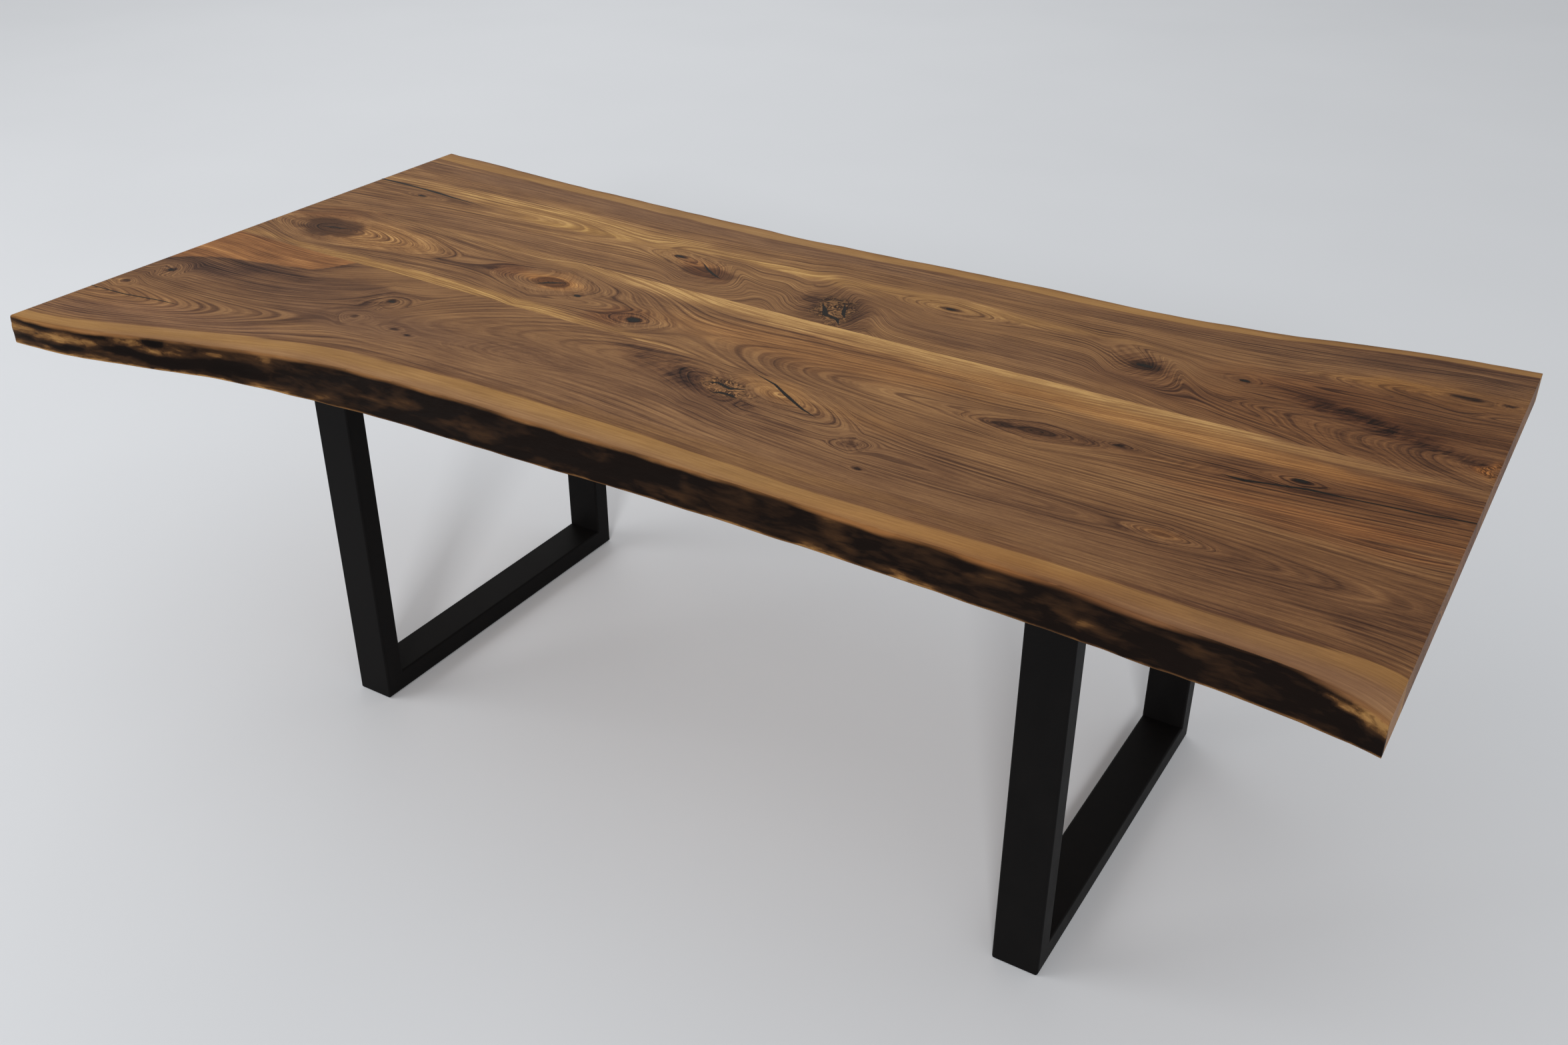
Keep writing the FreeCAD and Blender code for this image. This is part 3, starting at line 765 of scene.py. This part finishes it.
OUTER_SAPWOOD = (0.90, 0.90, 1.12)
# Tint that darkens the wood towards the natural edge's crest and over its rounding.
DARKER_AT_CREST = (0.60, 0.48, 0.36)
HEARTWOOD_RIM = (0.12, 0.048, 0.022)


def walnut():
    g = Graph("oiled_walnut")
    grain = g.attribute("grain", "Vector")
    ring = g.attribute("ring")
    dark, red, gold = g.split(g.attribute("tint", "Vector"))[:3]
    heart, core, worn = g.split(g.attribute("zone", "Vector"))[:3]
    burl, feather, figure = g.split(g.attribute("figure", "Vector"))[:3]
    face = g.attribute("face")
    place = g.position()
    along = g.split(place)[0]

    # Bands of colour at three widths follow the growth rings, and shift slowly along the board.
    def band(per_mm, along_per_mm, detail):
        where = g.node("ShaderNodeCombineXYZ", {0: g.times(along, along_per_mm), 1: g.times(ring, per_mm)})
        return g.noise(where.outputs[0], detail=detail)

    broad = band(1 / 42, 1 / 1100, 2.0)
    medium = band(1 / 12, 1 / 420, 2.0)
    narrow = band(1 / 3.4, 1 / 190, 2.0)

    # Growth rings: a slow darkening that ends in a thin dark line, each ring of its own strength.
    phase = g.add(g.times(ring, 1 / RING_SPACING), g.times(broad, 3.0))
    in_ring = g.math("FRACT", phase)
    ring_random = g.node("ShaderNodeTexWhiteNoise", {"W": g.math("FLOOR", phase)},
                         noise_dimensions="1D").outputs["Value"]
    late = g.times(g.step(in_ring, 0.35, 0.88), g.math("SUBTRACT", 1.0, g.step(in_ring, 0.90, 1.0)))
    ring_line = g.times(late, g.add(g.times(ring_random, 0.9), 0.1))

    # Fibres and pores follow the fibre line.
    fibre = g.noise(g.scaled(grain, 0.012, 0.40, 0.40), detail=4.0, roughness=0.72)
    pores = g.noise(g.scaled(grain, 0.11, 2.2, 2.2), detail=1.0)
    pore = g.times(g.step(pores, 0.58, 0.72), g.add(g.times(in_ring, -0.6), 1.0))
    cloud = g.noise(g.scaled(place, 0.010, 0.022, 0.022), detail=3.0)

    # Combed shade runs across the grain, leaning to the right.
    lean = g.node("ShaderNodeVectorRotate", {"Vector": place, "Angle": COMB_LEAN},
                  rotation_type="Z_AXIS").outputs[0]
    comb = g.noise(g.scaled(lean, 0.018, 0.085, 0.05), detail=4.0, roughness=0.7, distortion=0.7)
    combed = g.times(feather, g.step(comb, 0.30, 0.74))

    figured = g.add(g.times(ring_line, 0.26), g.centred(broad, 0.32), g.centred(medium, 0.36),
                    g.centred(narrow, 0.74))
    # dark includes painted shade at the boards' right end.
    value = g.add(0.39, g.times(figured, figure), g.centred(fibre, 0.70), g.times(pore, 0.16),
                  g.centred(cloud, 0.22), dark, g.times(combed, 0.24))
    wood = g.ramp(value, HEARTWOOD)

    # Knots and burls.
    knot_grain = g.noise(g.scaled(lean, 0.035, 0.09, 0.09), detail=4.0, roughness=0.7, distortion=0.8)
    knot = g.ramp(g.add(0.36, g.centred(knot_grain, 0.4), g.centred(narrow, 0.7), g.times(ring_line, 0.3),
                        g.times(dark, 1.2)), KNOTWOOD)
    wood = g.mix(g.times(core, 0.92), wood, knot)
    swirl = g.noise(g.scaled(place, 0.045, 0.060, 0.06), detail=3.0, roughness=0.6, distortion=2.2)
    seam = g.math("ABSOLUTE", g.math("SUBTRACT", swirl, 0.5))
    torn = g.ramp(g.add(g.times(seam, 4.4), g.centred(knot_grain, 0.6), g.centred(cloud, 0.8)), BURLWOOD)
    wood = g.mix(g.math("MULTIPLY", burl, 0.95, clamp=True), wood, torn)

    # Sapwood: golden at the heartwood, tan towards the edge.
    sap_value = g.add(0.42, g.centred(fibre, 0.60), g.centred(narrow, 0.35), g.times(pore, 0.12),
                      g.times(ring_line, 0.08), g.centred(cloud, 0.35), g.times(dark, 0.9))
    sap = g.ramp(sap_value, SAPWOOD_RAMP)
    sap = g.tinted(g.step(heart, -20.0, -48.0), sap, OUTER_SAPWOOD)
    ragged = g.add(heart, g.centred(narrow, 7.0), g.centred(fibre, 4.0))
    wood = g.mix(g.step(ragged, -3.0, 3.5), sap, wood)
    wood = g.tinted(g.math("MULTIPLY", red, 0.8, clamp=True), wood, REDDER)
    wood = g.tinted(g.math("MULTIPLY", gold, 0.8, clamp=True), wood, MORE_GOLDEN)
    wood = g.tinted(g.math("MULTIPLY", gold, -0.8, clamp=True), wood, GREYER)
    rim = g.times(g.step(ragged, 14.0, 2.0), g.step(ragged, -2.0, 2.0))
    wood = g.mix(g.times(rim, 0.30), wood, HEARTWOOD_RIM)

    # The natural face: a dark skin, worn to brown and tan in places, with a pale line at the foot.
    blotch = g.noise(g.scaled(place, 0.011, 0.03, 0.034), detail=2.0, roughness=0.5, distortion=0.9)
    strand = g.noise(g.scaled(place, 0.022, 0.12, 0.12), detail=3.0, roughness=0.6, distortion=0.5)
    foot_line = g.step(g.add(face, g.centred(strand, 4.0)), THICKNESS - 4.5, THICKNESS - 1.8)
    streaky = g.times(worn, g.add(0.1, g.times(strand, 1.4)))
    skin = g.ramp(g.add(0.36, streaky, g.centred(blotch, 0.45), g.centred(strand, 0.28),
                        g.times(foot_line, 0.38)), NATURAL_FACE)
    crest_line = g.noise(g.scaled(place, 0.008, 0.010, 0.02), detail=1.5)
    crest = g.step(g.add(face, g.centred(crest_line, 18.0), g.centred(strand, 3.0)), -1.5, 5.0)
    under = g.step(face, THICKNESS - 0.6, THICKNESS - 0.1)
    on_face = g.times(crest, g.math("SUBTRACT", 1.0, under))
    # The wood darkens from about 16 mm inside the crest to 4 mm down over it.
    towards_crest = g.times(g.step(g.add(face, g.centred(crest_line, 14.0)), -16.0, 4.0),
                    g.math("SUBTRACT", 1.0, under))
    wood = g.tinted(g.times(towards_crest, 0.8), wood, DARKER_AT_CREST)
    colour = g.mix(on_face, wood, skin)

    roughness = g.add(0.46, g.times(pore, 0.18), g.centred(fibre, 0.14), g.times(on_face, 0.06))
    height = g.add(g.times(pore, -1.0), g.times(fibre, 0.35), g.times(narrow, 0.2))
    normal = g.bump(height, 0.00007)
    face_height = g.times(g.add(g.times(strand, 1.0), g.times(blotch, 1.6)), on_face)
    normal = g.bump(face_height, 0.0009, normal)
    return g.finish(Base_Color=colour, Roughness=roughness, Normal=normal, Specular_IOR_Level=0.04)


def black_steel():
    """Matt powder coat: faint orange peel, slight mottle, and fine paler grit."""
    g = Graph("black_powder_coat")
    place = g.position()
    peel = g.noise(g.scaled(place, 0.9, 0.9, 0.9), detail=2.0)
    mottle = g.noise(g.scaled(place, 0.02, 0.02, 0.012), detail=4.0, roughness=0.6)
    grit = g.noise(g.scaled(place, 2.4, 2.4, 2.4), detail=1.0)
    tone = g.add(0.35, g.centred(mottle, 0.7), g.centred(grit, 0.25))
    colour = g.ramp(tone, [(0.0, (0.0034, 0.0031, 0.0031)), (0.6, (0.0062, 0.0056, 0.0055)),
                           (1.0, (0.0115, 0.0102, 0.0096))])
    roughness = g.add(0.50, g.centred(mottle, 0.16), g.centred(grit, 0.1))
    normal = g.bump(g.add(g.times(peel, 1.0), g.times(grit, 0.4)), 0.00012)
    return g.finish(Base_Color=colour, Roughness=roughness, Normal=normal, Specular_IOR_Level=0.05)


def black_resin():
    g = Graph("black_resin")
    place = g.position()
    cloud = g.noise(g.scaled(place, 0.15, 0.15, 0.15), detail=3.0)
    scratch = g.noise(g.scaled(place, 0.3, 3.0, 1.0), detail=2.0)
    colour = g.ramp(cloud, [(0.0, (0.004, 0.0035, 0.003)), (1.0, (0.020, 0.014, 0.010))])
    return g.finish(Base_Color=colour, Roughness=g.add(0.34, g.centred(scratch, 0.2)),
                    Normal=g.bump(scratch, 0.00005), Specular_IOR_Level=0.04)


def zinc():
    g = Graph("zinc_plate")
    place = g.position()
    spangle = g.noise(g.scaled(place, 0.5, 0.5, 0.5), detail=4.0, roughness=0.7)
    colour = g.ramp(spangle, [(0.3, (0.42, 0.42, 0.40)), (0.7, (0.66, 0.66, 0.63))])
    return g.finish(Base_Color=colour, Metallic=1.0, Roughness=g.add(0.30, g.centred(spangle, 0.25)),
                    Normal=g.bump(spangle, 0.00008))


def felt():
    g = Graph("pressed_felt")
    place = g.position()
    fluff = g.noise(g.scaled(place, 1.3, 1.3, 1.3), detail=6.0, roughness=0.8, distortion=1.5)
    colour = g.ramp(fluff, [(0.25, (0.018, 0.018, 0.019)), (0.8, (0.085, 0.085, 0.09))])
    return g.finish(Base_Color=colour, Roughness=0.95, Sheen_Weight=0.4, Normal=g.bump(fluff, 0.0006))


def beech():
    g = Graph("beech")
    place = g.position()
    ray = g.noise(g.scaled(place, 1.6, 0.12, 1.6), detail=3.0)
    colour = g.ramp(ray, [(0.3, (0.42, 0.26, 0.14)), (0.7, (0.60, 0.41, 0.25))])
    return g.finish(Base_Color=colour, Roughness=g.add(0.5, g.centred(ray, 0.2)),
                    Normal=g.bump(ray, 0.0002))


def studio_paper():
    g = Graph("studio_floor")
    place = g.position()
    cloud = g.noise(g.scaled(place, 0.0012, 0.0012, 0.0012), detail=2.0)
    colour = g.ramp(cloud, [(0.2, (0.765, 0.79, 0.825)), (0.8, (0.79, 0.815, 0.85))])
    return g.finish(Base_Color=colour, Roughness=0.75, Specular_IOR_Level=0.2)


# ---------------------------------------------------------------- the scene

def finish_cad_nodes():
    """Gives every CAD node but the walnut boards, which are replaced, its own slot's material."""
    finishes = {"black_steel": black_steel(), "black_resin": black_resin(), "zinc_steel": zinc(),
                "felt": felt(), "beech": beech()}
    for entry in frame["record"]["subparts"]:
        if entry["material_slot"] in finishes:
            node = frame["nodes"][entry["node"]]
            node.data.materials.clear()
            node.data.materials.append(finishes[entry["material_slot"]])


def add_floor():
    mesh = bpy.data.meshes.new("studio_floor")
    corners = [(x * FLOOR_REACH, y * FLOOR_REACH, 0) for x, y in ((-1, -1), (1, -1), (1, 1), (-1, 1))]
    mesh.from_pydata(corners, [], [(0, 1, 2, 3)])
    mesh.materials.append(studio_paper())
    floor = bpy.data.objects.new("studio_floor", mesh)
    bpy.context.scene.collection.objects.link(floor)


def add_panel(name, place, aim, side, watts):
    data = bpy.data.lights.new(name, "AREA")
    data.shape = "RECTANGLE"
    data.size, data.size_y = side, side
    data.energy = watts
    data.color = PANEL_COLOUR
    light = bpy.data.objects.new(name, data)
    light.location = place
    light.rotation_euler = (Vector(aim) - Vector(place)).to_track_quat("-Z", "Y").to_euler()
    bpy.context.scene.collection.objects.link(light)


def add_studio():
    world = bpy.data.worlds.new("studio")
    world.use_nodes = True
    background = world.node_tree.nodes["Background"]
    background.inputs["Color"].default_value = (1.0, 1.0, 1.0, 1.0)
    background.inputs["Strength"].default_value = WORLD_STRENGTH
    bpy.context.scene.world = world
    for name, panel in PANELS.items():
        add_panel(name, *panel)
    bpy.context.scene.view_settings.view_transform = "Standard"


def add_camera():
    data = bpy.data.cameras.new("camera")
    data.lens = CAMERA_LENS
    data.sensor_width = 36.0
    data.clip_start, data.clip_end = 0.05, 200.0
    camera = bpy.data.objects.new("camera", data)
    camera.location = CAMERA_PLACE
    camera.rotation_euler = Euler([math.radians(angle) for angle in CAMERA_TURN], "XYZ")
    bpy.context.scene.collection.objects.link(camera)
    bpy.context.scene.camera = camera


add_camera()
add_studio()
add_floor()
finish_cad_nodes()
wood = walnut()
add_board("far_board", 1, wood)
add_board("middle_board", 0, wood)
add_board("near_board", -1, wood)
